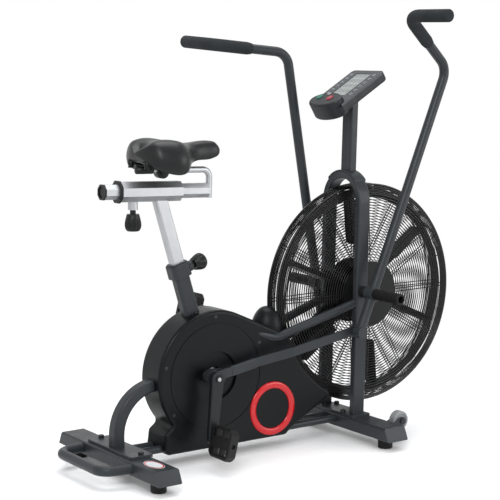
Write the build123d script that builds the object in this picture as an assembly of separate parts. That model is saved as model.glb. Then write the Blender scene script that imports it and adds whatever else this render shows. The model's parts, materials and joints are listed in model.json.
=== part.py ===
"""Air bike with a caged fan, swinging handlebars and cranks. Millimetres, +X forward, +Z up."""
from build123d import *
from math import acos, atan2, cos, degrees, hypot, radians, sin
import os

# Floor is Z = 0, the bike is symmetric about Y = 0 except for its drive side, +Y is the rider's left.

# Base bars
bar_depth = 75.0
bar_low = 30.0
bar_high = 68.0
bar_half_low = 272.0
bar_half_high = 254.0
bar_wall = 2.5
rear_bar_x = -524.0
front_bar_x = 251.0
plate_top = 76.0
foot_y = 214.0
foot_r = 21.5
rail_y = 23.5
rail_z = 54.5
rail_r = 11.0

# Lift handle
lift_r = 14.0
lift_x = -641.5
lift_y = 133.0
lift_z = 50.0

# Rear arch tube
arch_x = -526.5
arch_bend_z = 105.0
arch_bend_r = 130.0
arch_bend_deg = 78.5
arch_width = 40.0
arch_thick = 33.0

# Crank
crank_x = -232.5
crank_z = 245.0
crank_throw = 34.0
crank_pin_deg = 170.5
pedal_reach = 170.0
pedal_deg = -107.8
web_y = 56.0
web_thick = 12.0
link_y = 85.0
link_thick = 8.0
arm_y = 98.0
arm_thick = 16.0
pedal_y = 118.0
pedal_width = 94.0
pedal_length = 88.0
pedal_thick = 26.0
pedal_pitch = 75.0

# Drive
crank_pulley_r = 130.0
jack_small_r = 26.0
jack_large_r = 34.0
fan_pulley_r = 17.0
primary_y = 27.0
secondary_y = 51.5
belt_width = 8.0
belt_thick = 1.6
jack_x = -37.5
jack_z = 125.0

# Seat tube, post and saddle slide
seat_tilt = 16.7
sleeve_top = 334.0
sleeve_x = 46.0
sleeve_y = 34.0
post_x = 40.0
post_y = 26.0
post_low = 194.0
post_high = 528.0
slide_x = -417.0
slide_z = 771.0
slide_tilt = 2.0
slide_length = 191.0
slide_flats = 54.0
carriage_flats = 40.0
knob_x = -467.5
saddle_low = 826.0
saddle_seat = 846.0
saddle_high = 914.0

# Fan and cage
fan_x = 325.5
fan_z = 426.0
cage_r = 330.0
cage_rim_y = 25.6
dish_rim_r = 326.0
dish_rim_y = 26.5
dish_hub_r = 96.0
dish_hub_y = 42.0
hub_cover_r = 98.0
blade_count = 6
blade_start_deg = 37.0

# Uprights and handles
leg_y = 77.5
leg_width = 21.0
leg_depth = 42.0
leg_x = 253.1
leg_lean = 1.43
leg_bend_z = 707.0
pivot_x = 262.8
pivot_z = 443.0
handle_y = 134.0
handle_r = 14.3
grip_r = 18.5
lever_dx = -46.0
lever_dz = -110.0
front_link_y = 104.0
handle_phase = 32.4
shaft_r = 10.0
running = 0.05

# Brace tubes
brace_r = 13.0
brace_back_z = 419.0
brace_bend_x = -21.5
brace_bend_z = 328.0
brace_front_z = 410.5

# Casing
casing_y = 50.0
casing_r = 186.0
wall = 3.0
dome_x = -20.0
dome_z = 352.0
dome_r = 47.0
dome_height = 64.0

# Console and mast
mast_low_x = 276.5
mast_low_z = 794.0
mast_high_x = 283.5
mast_high_z = 1010.0
console_y = 73.0
console_tilt = 30.9
console_x = 186.5
console_z = 993.0
console_length = 191.0
pod_x = 8.0
pod_half_x = 38.0
pod_half_y = 67.0
pod_top = 15.0

# Transport wheels
wheel_x = 320.5
wheel_y = 191.0
wheel_z = 68.0
wheel_r = 28.0
wheel_width = 24.0

os.makedirs("parts", exist_ok=True)


def block(x0, x1, y0, y1, z0, z1):
    """Box between two corners."""
    return Pos((x0 + x1) / 2, (y0 + y1) / 2, (z0 + z1) / 2) * Box(x1 - x0, y1 - y0, z1 - z0)


def slab(face, y0, y1):
    """Extrude a sketch drawn in X and Z from y0 to y1."""
    return extrude(Plane.XZ.offset(-y1) * face, amount=y1 - y0)


def disc(x, z, y0, y1, radius):
    """Cylinder along Y."""
    return slab(Pos(x, z) * Circle(radius), y0, y1)


def ring(x, z, y0, y1, outer, inner):
    """Washer along Y."""
    return slab(Pos(x, z) * (Circle(outer) - Circle(inner)), y0, y1)


def rod(start, end, radius):
    """Round bar between two points."""
    axis = Vector(*end) - Vector(*start)
    return extrude(Plane(origin=start, z_dir=axis) * Circle(radius), amount=axis.length)


def tube_along(path, outer, inner):
    """Tube swept along a path, with round outer and inner radii."""
    start = Plane(origin=path @ 0, z_dir=path % 0)
    return sweep(start * (Circle(outer) - Circle(inner)), path=path)


def post_frame(distance):
    """Frame whose Z runs up the seat tube, at a distance from the crank axis."""
    return Location((crank_x, 0, crank_z), (0, -seat_tilt, 0)) * Pos(0, 0, distance)


def slide_frame():
    """Frame whose X runs forward along the saddle slide."""
    return Location((slide_x, 0, slide_z), (0, slide_tilt, 0))


def octagon(flats):
    """Octagon sketch with flats on top and bottom."""
    return Rot(0, 0, 22.5) * RegularPolygon(flats / 2, 8, major_radius=False)


def along_slide(face, x0, x1):
    """Extrude a YZ sketch along the saddle slide."""
    piece = extrude(Plane.YZ.offset(x0) * face, amount=x1 - x0)
    return slide_frame() * piece


def flip(shape):
    """Mirror a piece to the other side of the bike."""
    return mirror(shape, about=Plane.XZ)


def fluted(radius, height, flutes, depth):
    """Knob head on Z: narrow at the stem, full towards a domed end, with finger flutes."""
    side = Spline(
        (0.74 * radius, 0, 0), (0.93 * radius, 0, 0.36 * height),
        (radius, 0, 0.70 * height), (0.70 * radius, 0, height))
    base = Line((0, 0, 0), (0.74 * radius, 0, 0))
    end = Line((0.70 * radius, 0, height), (0, 0, height))
    middle = Line((0, 0, height), (0, 0, 0))
    head = revolve(make_face(Wire([base.edge(), side.edge(), end.edge(), middle.edge()])), axis=Axis.Z)
    cutter = Pos(radius + depth * 0.9, 0, -1) * Cylinder(
        depth * 1.9, height * 2, align=(Align.CENTER, Align.CENTER, Align.MIN))
    for index in range(flutes):
        head -= Rot(0, 0, 360 / flutes * index) * cutter
    return head


def save(shape, name):
    """Write one node to its own file."""
    export_step(shape if isinstance(shape, Compound) else Compound([shape]), f"parts/{name}.step")


# Base bars, hollow with closed slanted ends
def base_bar(x):
    outer = Polygon(
        (-bar_half_low, bar_low), (bar_half_low, bar_low), (bar_half_high, bar_high),
        (-bar_half_high, bar_high), align=None)
    bar = extrude(Plane.YZ.offset(x - bar_depth / 2) * outer, amount=bar_depth)
    bar = fillet(bar.edges().filter_by(Axis.Y), 5)
    inner = block(
        x - bar_depth / 2 + bar_wall, x + bar_depth / 2 - bar_wall,
        -bar_half_high + 8, bar_half_high - 8, bar_low + bar_wall + 1, bar_high - bar_wall - 1)
    return bar - inner


rear_bar = base_bar(rear_bar_x)
front_bar = base_bar(front_bar_x)

# Wheel brackets welded to the front bar
tab_face = make_hull([
    *(Pos(wheel_x, wheel_z) * Circle(12)).edges(),
    *(Pos(front_bar_x + bar_depth / 2 + 2, 50) * Rectangle(4, 28)).edges()])
for side in (-1, 1):
    for edge in (-1, 1):
        middle = side * wheel_y + edge * (wheel_width / 2 + 3.5)
        tab = slab(tab_face, middle - 2, middle + 2)
        tab -= disc(wheel_x, wheel_z, middle - 3, middle + 3, 5.0)
        front_bar += tab

rear_plate = block(rear_bar_x - 28, rear_bar_x + 42, -122, 122, bar_high, plate_top)
rear_plate = fillet(rear_plate.edges().filter_by(Axis.Z), 8)
rear_plate = chamfer(rear_plate.faces().sort_by(Axis.Z)[-1].edges(), 1.2)
front_mount = block(front_bar_x - 33, front_bar_x + 33, -105, 105, bar_high, plate_top)
front_mount = fillet(front_mount.edges().filter_by(Axis.Z), 5)
front_mount = chamfer(front_mount.faces().sort_by(Axis.Z)[-1].edges(), 1.2)

# Socket bolts through the plates into the bars
bolts = []
for x, y, plate in ((rear_bar_x + 10, 108, "rear"), (front_bar_x + 26, 48, "front"),
                    (front_bar_x - 26, 48, "front")):
    for side in (-1, 1):
        head = Pos(x, side * y, plate_top) * Cylinder(8, 8, align=(Align.CENTER, Align.CENTER, Align.MIN))
        head = fillet(head.edges().sort_by(Axis.Z)[-1], 1.5)
        head -= Pos(x, side * y, plate_top + 4) * extrude(RegularPolygon(4, 6), amount=6)
        shank = Pos(x, side * y, bar_high - 14) * Cylinder(
            4.8, plate_top - bar_high + 14, align=(Align.CENTER, Align.CENTER, Align.MIN))
        hole = Pos(x, side * y, bar_high - 20) * Cylinder(
            5, 40, align=(Align.CENTER, Align.CENTER, Align.MIN))
        bolts.append(head + shank)
        if plate == "rear":
            rear_plate -= hole
            rear_bar -= hole
        else:
            front_mount -= hole
            front_bar -= hole

# Rubber feet
feet = []
for x in (rear_bar_x, front_bar_x):
    for side in (-1, 1):
        foot = Pos(x, side * foot_y, 0) * Cylinder(
            foot_r, bar_low, align=(Align.CENTER, Align.CENTER, Align.MIN))
        foot = chamfer(foot.edges().sort_by(Axis.Z)[0], 2)
        feet.append(foot)

# Lift handle behind the rear bar
rear_face = rear_bar_x - bar_depth / 2
lift_path = FilletPolyline(
    (rear_face + 8, -lift_y - 1, lift_z), (lift_x, -lift_y + 13, lift_z),
    (lift_x, lift_y - 13, lift_z), (rear_face + 8, lift_y + 1, lift_z), radius=38)
lift_handle = tube_along(lift_path, lift_r, lift_r - 2)
lift_handle -= block(rear_face, rear_face + 60, -200, 200, 20, 90)

# Lower rails with the jackshaft bracket
rail_start = rear_bar_x + bar_depth / 2
rail_end = front_bar_x - bar_depth / 2
lower_rails = None
for side in (-1, 1):
    rail = rod((rail_start, side * rail_y, rail_z), (rail_end, side * rail_y, rail_z), rail_r)
    rail -= rod((rail_start - 1, side * rail_y, rail_z), (rail_end + 1, side * rail_y, rail_z), rail_r - 2)
    lower_rails = rail if lower_rails is None else lower_rails + rail
cross = block(jack_x - 45, jack_x + 45, -rail_y, rail_y, rail_z + 6, rail_z + 14)
for side in (-1, 1):
    cross -= rod((rail_start, side * rail_y, rail_z), (rail_end, side * rail_y, rail_z), rail_r - 1)
lower_rails += cross
for y0 in (-16, 14):
    cheek = slab(make_hull([
        *(Pos(jack_x, jack_z) * Circle(20)).edges(),
        *(Pos(jack_x, rail_z + 12) * Rectangle(80, 4)).edges()]), y0, y0 + 7)
    lower_rails += cheek
lower_rails -= disc(jack_x, jack_z, -30, 30, 8 + running)

# Seat tube with the bottom bracket shell and a keel strut down to the rails
sleeve = extrude(RectangleRounded(sleeve_x, sleeve_y, 9), amount=sleeve_top - 10)
sleeve_bore = extrude(RectangleRounded(post_x + 2 * running, post_y + 2 * running, 7), amount=sleeve_top)
shell_outer = disc(crank_x, crank_z, -24, 24, 25)
sleeve_solid = post_frame(10) * sleeve
seat_tube = sleeve_solid + shell_outer
seat_tube -= post_frame(60) * sleeve_bore
seat_tube -= disc(crank_x, crank_z, -30, 30, 20)
strut = block(crank_x - 16, crank_x + 16, -12, 12, rail_z + 13, crank_z - 22)
strut -= block(crank_x - 13, crank_x + 13, -9, 9, rail_z + 16, crank_z - 28)
seat_tube += strut
saddle_weld = block(crank_x - 30, crank_x + 30, -rail_y, rail_y, rail_z + 6, rail_z + 14)
for side in (-1, 1):
    saddle_weld -= rod((rail_start, side * rail_y, rail_z), (rail_end, side * rail_y, rail_z), rail_r)
seat_tube += saddle_weld

bearings = []
for side in (-1, 1):
    y0 = 12 if side > 0 else -24
    bearings.append(ring(crank_x, crank_z, y0, y0 + 12, 20, 11 + running))

# Collar clamped round the top of the sleeve, with the boss of the height knob
collar_face = RectangleRounded(sleeve_x + 14, sleeve_y + 14, 13) - RectangleRounded(sleeve_x, sleeve_y, 9)
collar = extrude(collar_face, amount=38)
collar = chamfer(collar.faces().sort_by(Axis.Z)[-1].outer_wire().edges(), 2)
cap_face = RectangleRounded(sleeve_x + 6, sleeve_y + 6, 11) - RectangleRounded(post_x + 1, post_y + 1, 7.5)
collar += Pos(0, 0, 38) * extrude(cap_face, amount=3)
boss_blank = Pos(30, 0, 17) * Rot(0, 90, 0) * Cylinder(15, 22)
boss_blank -= Pos(0, 0, -5) * extrude(RectangleRounded(sleeve_x, sleeve_y, 9), amount=60)
collar += boss_blank
knob_bore = Pos(30, 0, 17) * Rot(0, 90, 0) * Cylinder(5 + running, 60)
seat_collar = post_frame(sleeve_top - 38) * (collar - knob_bore)
seat_tube -= post_frame(sleeve_top - 38) * knob_bore
knob_head = Pos(50, 0, 17) * Rot(0, 90, 0) * fluted(23.5, 37, 10, 3.2)
knob_pin = Pos(post_x / 2 + 0.5, 0, 17) * Rot(0, 90, 0) * Cylinder(
    5, 34, align=(Align.CENTER, Align.CENTER, Align.MIN))
knob_neck = Pos(42, 0, 17) * Rot(0, 90, 0) * Cylinder(
    10, 12, align=(Align.CENTER, Align.CENTER, Align.MIN))
height_knob = post_frame(sleeve_top - 38) * (knob_head + knob_pin + knob_neck)

# Rear arch tube, standing on the rear plate and bending forward to the seat tube
bend_centre = (arch_x + arch_bend_r, arch_bend_z)
turn = radians(arch_bend_deg)
bend_end = (bend_centre[0] - arch_bend_r * cos(turn), bend_centre[1] + arch_bend_r * sin(turn))
reach = 230.0
far_end = (bend_end[0] + reach * sin(turn), bend_end[1] + reach * cos(turn))
arch_line = Polyline((arch_x, 0, plate_top - 10), (arch_x, 0, arch_bend_z))
mid = radians(arch_bend_deg / 2)
arch_curve = ThreePointArc(
    (arch_x, 0, arch_bend_z),
    (bend_centre[0] - arch_bend_r * cos(mid), 0, bend_centre[1] + arch_bend_r * sin(mid)),
    (bend_end[0], 0, bend_end[1]))
arch_out = Line((bend_end[0], 0, bend_end[1]), (far_end[0], 0, far_end[1]))
arch_path = Wire([arch_line.edge(), arch_curve.edge(), arch_out.edge()])
arch_plane = Plane(origin=(arch_x, 0, plate_top - 10), x_dir=(1, 0, 0), z_dir=(0, 0, 1))
arch_solid = sweep(arch_plane * RectangleRounded(arch_thick, arch_width, 8), path=arch_path)
arch_hollow = sweep(arch_plane * RectangleRounded(arch_thick - 5, arch_width - 5, 6), path=arch_path)
arch_slot = sweep(arch_plane * RectangleRounded(arch_thick + 2, arch_width + 2, 9), path=arch_path)
beyond_seat = post_frame(-120) * Pos(90, 0, 150) * Box(200, 120, 460)
rear_arch = arch_solid - arch_hollow
rear_arch -= block(arch_x - 60, arch_x + 60, -60, 60, 40, plate_top)
rear_arch -= sleeve_solid + shell_outer + beyond_seat

# Uprights: an inverted U, leaning slightly forward, with the plates that carry the fan axle
def arch_profile(half_outer, half_inner, depth, low):
    outer = Pos(0, (leg_bend_z + low) / 2) * Rectangle(2 * half_outer, leg_bend_z - low)
    outer += Pos(0, leg_bend_z) * Circle(half_outer)
    inner = Pos(0, (leg_bend_z + low) / 2 - 10) * Rectangle(2 * half_inner, leg_bend_z - low + 20)
    inner += Pos(0, leg_bend_z) * Circle(half_inner)
    return extrude(Plane.YZ.offset(-depth / 2) * (outer - inner), amount=depth)


lean = Location((leg_x, 0, plate_top), (0, leg_lean, 0)) * Pos(0, 0, -plate_top)
half_out = leg_y + leg_width / 2
half_in = leg_y - leg_width / 2
legs = arch_profile(half_out, half_in, leg_depth, plate_top - 8)
long_edges = legs.edges().filter_by(lambda e: abs((e @ 0).X) > 20 and abs((e @ 0).X - (e @ 1).X) < 0.1)
legs = fillet(long_edges.filter_by(lambda e: e.length > 60), 4.5)
legs -= arch_profile(half_out - 2.5, half_in + 2.5, leg_depth - 5, plate_top - 8)
leg_solid = lean * arch_profile(half_out, half_in, leg_depth, plate_top - 8)
uprights = lean * legs
uprights -= block(leg_x - 80, leg_x + 80, -120, 120, 40, plate_top)
for side in (-1, 1):
    y0 = 70 if side > 0 else -76
    plate_face = make_hull([
        *(Pos(fan_x, fan_z) * Circle(22)).edges(),
        *(Pos(pivot_x + 22, fan_z + 2) * Rectangle(10, 56)).edges()])
    plate = slab(plate_face, y0, y0 + 6)
    uprights += plate
uprights -= disc(fan_x, fan_z, -90, 90, 8.1)

# Brace tubes from the seat tube, bent inside the casing, up to the legs
braces = []
brace_cores = []
for side in (-1, 1):
    path = FilletPolyline(
        (crank_x - 60, side * 13, brace_back_z), (brace_bend_x, side * 43, brace_bend_z),
        (leg_x + 2, side * 73, brace_front_z), radius=70)
    outer = sweep(Plane(origin=path @ 0, z_dir=path % 0) * Circle(brace_r), path=path)
    inner = sweep(Plane(origin=path @ 0, z_dir=path % 0) * Circle(brace_r - 2), path=path)
    slot = sweep(Plane(origin=path @ 0, z_dir=path % 0) * Circle(brace_r + 1), path=path)
    brace = outer - inner - leg_solid - sleeve_solid
    brace -= block(crank_x - 120, crank_x - 50, -80, 80, 300, 500)
    pieces = brace.solids().sort_by(SortBy.VOLUME)
    braces.append(pieces[-1])
    brace_cores.append(slot)

# Casing outline: a round housing on the crank, running forward and down, hollowed by the fan
hollow_r = 316.0
nose_top = (24.5, 334.0)
nose_low = (188.5, 141.0)


def on_circle(x, z, radius, toward_x, toward_z):
    """Point of a circle in the direction of another point."""
    span = hypot(toward_x - x, toward_z - z)
    return (x + radius * (toward_x - x) / span, z + radius * (toward_z - z) / span)


def tangent_point(px, pz, x, z, radius):
    """Upper point where a line from (px, pz) touches a circle."""
    angle = atan2(pz - z, px - x) + acos(radius / hypot(px - x, pz - z))
    return (x + radius * cos(angle), z + radius * sin(angle))


tip_top = on_circle(fan_x, fan_z, hollow_r, *nose_top)
tip_low = on_circle(fan_x, fan_z, hollow_r, *nose_low)
hollow_mid = on_circle(fan_x, fan_z, hollow_r, (tip_top[0] + tip_low[0]) / 2, (tip_top[1] + tip_low[1]) / 2)
touch = tangent_point(*tip_top, crank_x, crank_z, casing_r)
heel = on_circle(crank_x, crank_z, casing_r, -372, 118)
crown = on_circle(crank_x, crank_z, casing_r, crank_x - 80, crank_z + 70)
outline_edges = [
    ThreePointArc(touch, crown, heel),
    Polyline(heel, (-398, 98), (-403.5, 55), (-389.5, 38), (13.5, 38), (38.5, 58), tip_low),
    ThreePointArc(tip_low, hollow_mid, tip_top),
    Line(tip_top, touch)]
outline = make_face(Wire([edge for part in outline_edges for edge in part.edges()]))
outline = fillet(outline.vertices().filter_by(lambda v: hypot(v.X - touch[0], v.Y - touch[1]) > 1), 14)


def casing_face(inset):
    """Casing outline, moved inward by a distance."""
    if inset == 0:
        return outline
    return offset(outline, -inset)


casing = slab(outline, -casing_y, casing_y)
side_edges = casing.edges().filter_by(
    lambda e: abs(abs((e @ 0).Y) - casing_y) < 0.01 and abs((e @ 0).Y - (e @ 1).Y) < 0.01)
casing_block = fillet(side_edges, 10)
casing = casing_block - slab(casing_face(wall), -38, 38)
casing -= slab(casing_face(10), -casing_y + wall, casing_y - wall)
for side in (-1, 1):
    y0 = casing_y - 11 if side > 0 else -casing_y + 1
    casing += disc(crank_x, crank_z, y0, y0 + 10, 73)
    y1 = casing_y - 8 if side > 0 else -casing_y - 2
    casing -= disc(crank_x, crank_z, y1, y1 + 10, 70)
    y2 = casing_y - 1.5 if side > 0 else -casing_y - 1
    casing -= ring(crank_x, crank_z, y2, y2 + 2.5, 151.5, 148.5)
casing -= disc(crank_x, crank_z, -60, 60, 26)
casing -= disc(fan_x, fan_z, -34, 34, 334)
casing -= arch_slot
casing -= post_frame(20) * extrude(RectangleRounded(sleeve_x + 3, sleeve_y + 3, 10), amount=300)
for side in (-1, 1):
    casing -= rod((rail_start, side * rail_y, rail_z), (rail_end, side * rail_y, rail_z), rail_r + 1)
casing -= brace_cores[0] + brace_cores[1]
red_recess = ring(jack_x, jack_z, -casing_y - 1, -casing_y + 1.5, 79, 58)
casing -= red_recess

# Accent ring on the right face, over the jackshaft
accent = extrude(Circle(78.8) - Circle(58.2), amount=5)
accent = Pos(jack_x, -casing_y + 1.5, jack_z) * Rot(90, 0, 0) * accent
accent = fillet(accent.edges().filter_by(lambda e: (e @ 0).Y < -casing_y - 1), 3)

# Domed fairing on top of the casing, tucked behind the cage rim
def dome(inset):
    """Half ellipsoid standing on a cylinder that runs down into the casing."""
    radius = dome_r - inset
    rise = dome_height - inset
    low = dome_z - 60
    side_line = Line((radius, 0, low), (radius, 0, dome_z))
    curve = Spline(
        (radius, 0, dome_z), (0.707 * radius, 0, dome_z + 0.707 * rise), (0, 0, dome_z + rise),
        tangents=((0, 0, 1), (-1, 0, 0)))
    top_line = Line((0, 0, dome_z + rise), (0, 0, low))
    foot_line = Line((0, 0, low), (radius, 0, low))
    face = make_face(Wire([foot_line.edge(), side_line.edge(), curve.edge(), top_line.edge()]))
    return Pos(dome_x, 0, 0) * revolve(face, axis=Axis.Z)


fairing = dome(0) - dome(wall) - casing_block
fairing -= disc(fan_x, fan_z, -34, 34, 334)
fairing -= disc(fan_x, fan_z, -60, 60, hollow_r)
fairing -= brace_cores[0] + brace_cores[1]
half_space = block(-700, 700, 0, 80, 0, 700)
left_casing = casing & half_space
right_casing = casing - half_space
left_casing += fairing & half_space
right_casing += fairing - half_space
left_casing -= disc(jack_x, jack_z, 30, 60, 12)

# Belt cover on the left, from the jackshaft to the fan axle
cover_face = make_hull([
    *(Pos(jack_x, jack_z) * Circle(jack_large_r + 8)).edges(),
    *(Pos(fan_x, fan_z) * Circle(fan_pulley_r + 7)).edges()])
core_face = make_hull([
    *(Pos(jack_x, jack_z) * Circle(jack_large_r + 5.5)).edges(),
    *(Pos(fan_x, fan_z) * Circle(fan_pulley_r + 4.5)).edges()])
belt_cover = slab(cover_face, casing_y, 64)
belt_cover = chamfer(belt_cover.edges().filter_by(lambda e: (e @ 0).Y > 63.9 and (e @ 1).Y > 63.9), 2)
belt_cover -= slab(core_face, casing_y + 1.2, 61.5)
belt_cover -= disc(jack_x, jack_z, 45, 55, 12) + disc(fan_x, fan_z, 45, 55, 18)
belt_cover -= disc(fan_x, fan_z, 55, 70, 8.5)
belt_cover -= brace_cores[0] + brace_cores[1]

# Crank axle, pulley, webs, crank pins and pedal arms
axle = disc(crank_x, crank_z, -web_y - web_thick + 1, web_y + web_thick - 1, 11)
crank_axle = axle
crank_pulley = disc(crank_x, crank_z, primary_y, primary_y + 10, crank_pulley_r)
crank_pulley -= ring(crank_x, crank_z, primary_y + 2.5, primary_y + 12, crank_pulley_r - 12, 30)
for index in range(5):
    spot = radians(72 * index + 20)
    hole_x = crank_x + 75 * cos(spot)
    hole_z = crank_z + 75 * sin(spot)
    crank_pulley -= disc(hole_x, hole_z, primary_y - 1, primary_y + 11, 24)
crank_pulley -= disc(crank_x, crank_z, primary_y - 1, primary_y + 12, 11)


def web_solid(phase):
    px = crank_x + crank_throw * cos(radians(phase))
    pz = crank_z + crank_throw * sin(radians(phase))
    face = make_hull([*(Pos(crank_x, crank_z) * Circle(24)).edges(), *(Pos(px, pz) * Circle(19)).edges()])
    plate = slab(face, -web_y - web_thick, -web_y)
    outer_y = -web_y - web_thick + 0.1
    plate = fillet(plate.edges().filter_by(lambda e: (e @ 0).Y < outer_y and (e @ 1).Y < outer_y), 2)
    plate -= disc(crank_x, crank_z, -web_y - web_thick + 1, -web_y + 1, 11)
    pin = disc(px, pz, -arm_y, -web_y - web_thick, 8)
    shoulder = disc(px, pz, -link_y + link_thick / 2 + 1, -web_y - web_thick, 13)
    return plate + pin + shoulder


def arm_solid(phase, reach_deg):
    px = crank_x + crank_throw * cos(radians(phase))
    pz = crank_z + crank_throw * sin(radians(phase))
    ex = crank_x + pedal_reach * cos(radians(reach_deg))
    ez = crank_z + pedal_reach * sin(radians(reach_deg))
    face = make_hull([*(Pos(px, pz) * Circle(20)).edges(), *(Pos(ex, ez) * Circle(14)).edges()])
    plate = slab(face, -arm_y - arm_thick, -arm_y)
    plate = fillet(plate.edges().filter_by(
        lambda e: abs((e @ 0).Y - (e @ 1).Y) < 0.1 and e.length > 20), 3.5)
    shoulder = disc(px, pz, -arm_y, -link_y - link_thick / 2 - 1, 13)
    shoulder -= disc(px, pz, -arm_y - 1, -link_y, 8)
    nut = disc(px, pz, -arm_y - arm_thick - 4, -arm_y - arm_thick, 9)
    nut = chamfer(nut.edges().filter_by(lambda e: (e @ 0).Y < -arm_y - arm_thick - 3.9), 1)
    spindle = disc(ex, ez, -pedal_y - pedal_width + 6, -arm_y - arm_thick, 6)
    flange = disc(ex, ez, -pedal_y + 0.5, -arm_y - arm_thick, 10)
    return plate + shoulder + nut + spindle + flange


right_web = web_solid(crank_pin_deg)
left_web = flip(web_solid(crank_pin_deg + 180))
right_arm = arm_solid(crank_pin_deg, pedal_deg)
left_arm = flip(arm_solid(crank_pin_deg + 180, pedal_deg + 180))


def pedal_solid(reach_deg, pitch):
    """Platform pedal: a bored centre barrel between two slotted treads."""
    ex = crank_x + pedal_reach * cos(radians(reach_deg))
    ez = crank_z + pedal_reach * sin(radians(reach_deg))
    y_mid = -pedal_width / 2
    body = Pos(0, y_mid, 0) * Box(pedal_length, pedal_width, pedal_thick)
    body = chamfer(body.edges().filter_by(Axis.Z), 14)
    body = fillet(body.edges().filter_by(Axis.Y), 5)
    for side in (-1, 1):
        tread_x = side * (pedal_length / 4 + 3)
        window = Pos(tread_x, y_mid, 0) * Box(pedal_length / 2 - 22, pedal_width - 18, 60)
        body -= window
        for index in range(3):
            y = -14 - index * (pedal_width - 28) / 2
            rib = Pos(tread_x, y, 0) * Box(pedal_length / 2 - 18, 5, pedal_thick - 6)
            body += rib
    bore = Rot(90, 0, 0) * Cylinder(6 + running, 2 * pedal_width)
    body -= bore
    return Pos(ex, -pedal_y, ez) * Rot(0, -pitch, 0) * body


right_pedal = pedal_solid(pedal_deg, pedal_pitch)
left_pedal = flip(pedal_solid(pedal_deg + 180, pedal_pitch))


# Link rods from the crank pins to the handle levers, with a sideways step
def link_solid(phase, front_x, front_z):
    px = crank_x + crank_throw * cos(radians(phase))
    pz = crank_z + crank_throw * sin(radians(phase))
    length = hypot(front_x - px, front_z - pz)
    rise = degrees(atan2(front_z - pz, front_x - px))
    half = link_thick / 2
    plan = Polygon(
        (0, -link_y - half), (154, -link_y - half), (268, -front_link_y - half),
        (length, -front_link_y - half), (length, -front_link_y + half), (268, -front_link_y + half),
        (154, -link_y + half), (0, -link_y + half), align=None)
    bar = extrude(Plane.XY.offset(-13) * plan, amount=26)
    bar = chamfer(bar.edges().filter_by(lambda e: abs((e @ 0).Z - (e @ 1).Z) < 0.01 and e.length > 20), 1)
    bar += disc(0, 0, -link_y - half, -link_y + half, 22)
    bar += disc(length, 0, -front_link_y - half, -front_link_y + half, 17)
    bar -= disc(0, 0, -link_y - half - 1, -link_y + half + 1, 8 + running)
    bar -= disc(length, 0, -front_link_y - half - 1, -front_link_y + half + 1, 8)
    return Location((px, 0, pz), (0, -rise, 0)) * bar


right_link = link_solid(crank_pin_deg, pivot_x + lever_dx, pivot_z + lever_dz)
swing = radians(handle_phase)
left_lever_x = pivot_x + lever_dx * cos(swing) - lever_dz * sin(swing)
left_lever_z = pivot_z + lever_dx * sin(swing) + lever_dz * cos(swing)
left_link = flip(link_solid(crank_pin_deg + 180, left_lever_x, left_lever_z))

# Jackshaft with its two pulleys
jackshaft = disc(jack_x, jack_z, -22, secondary_y + belt_width, 8)
jackshaft += disc(jack_x, jack_z, primary_y - 1, primary_y + 10.5, jack_small_r - 6)
jackshaft += disc(jack_x, jack_z, primary_y, primary_y + 10, jack_small_r)
jackshaft += disc(jack_x, jack_z, secondary_y, secondary_y + belt_width, jack_large_r)


def belt(x0, z0, r0, x1, z1, r1, y0, y1):
    outer = make_hull([
        *(Pos(x0, z0) * Circle(r0 + 0.4 + belt_thick)).edges(),
        *(Pos(x1, z1) * Circle(r1 + 0.4 + belt_thick)).edges()])
    inner = make_hull([
        *(Pos(x0, z0) * Circle(r0 + 0.4)).edges(), *(Pos(x1, z1) * Circle(r1 + 0.4)).edges()])
    return slab(outer, y0, y1) - slab(inner, y0 - 1, y1 + 1)


belts = [
    belt(crank_x, crank_z, crank_pulley_r, jack_x, jack_z, jack_small_r, primary_y + 1, primary_y + 9),
    belt(jack_x, jack_z, jack_large_r, fan_x, fan_z, fan_pulley_r, secondary_y + 0.5, secondary_y + 7)]

# Fan axle, rotor, blades
fan_axle = disc(fan_x, fan_z, -76, 76, 8)
for side in (-1, 1):
    y0 = 76 if side > 0 else -82
    nut = slab(Pos(fan_x, fan_z) * (RegularPolygon(13, 6) - Circle(7.9)), y0, y0 + 6)
    fan_axle += nut
    fan_axle += disc(fan_x, fan_z, 75 if side > 0 else -83, 83 if side > 0 else -75, 7.9)
rotor = ring(fan_x, fan_z, -1.5, 1.5, 314, 288)
rotor += ring(fan_x, fan_z, -1.5, 1.5, 90, 30)
for index in range(blade_count):
    angle = blade_start_deg + 360 / blade_count * index
    spoke = Pos(fan_x, fan_z) * Rot(0, 0, angle) * Pos(190, 0) * Rectangle(220, 16)
    rotor += slab(spoke, -1.5, 1.5)
rotor += disc(fan_x, fan_z, -34, 34, 32)
rotor += disc(fan_x, fan_z, 30, secondary_y + belt_width, 15)
rotor += disc(fan_x, fan_z, secondary_y, secondary_y + belt_width, fan_pulley_r)
rotor -= disc(fan_x, fan_z, -40, 70, 8 + running)
blades = []
for index in range(blade_count):
    angle = blade_start_deg + 360 / blade_count * index
    paddle_face = Polygon((150, -34), (288, -28), (288, 28), (150, 34), align=None)
    paddle = extrude(Plane.XY.offset(-1.5) * paddle_face, amount=3)
    paddle -= block(100, 290, -1.6, 1.6, -2, 2)
    paddle = Location((fan_x, 0, fan_z), (0, -angle, 0)) * Pos(0, 0, 9.6) * paddle
    blades.extend(paddle.solids())

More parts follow.
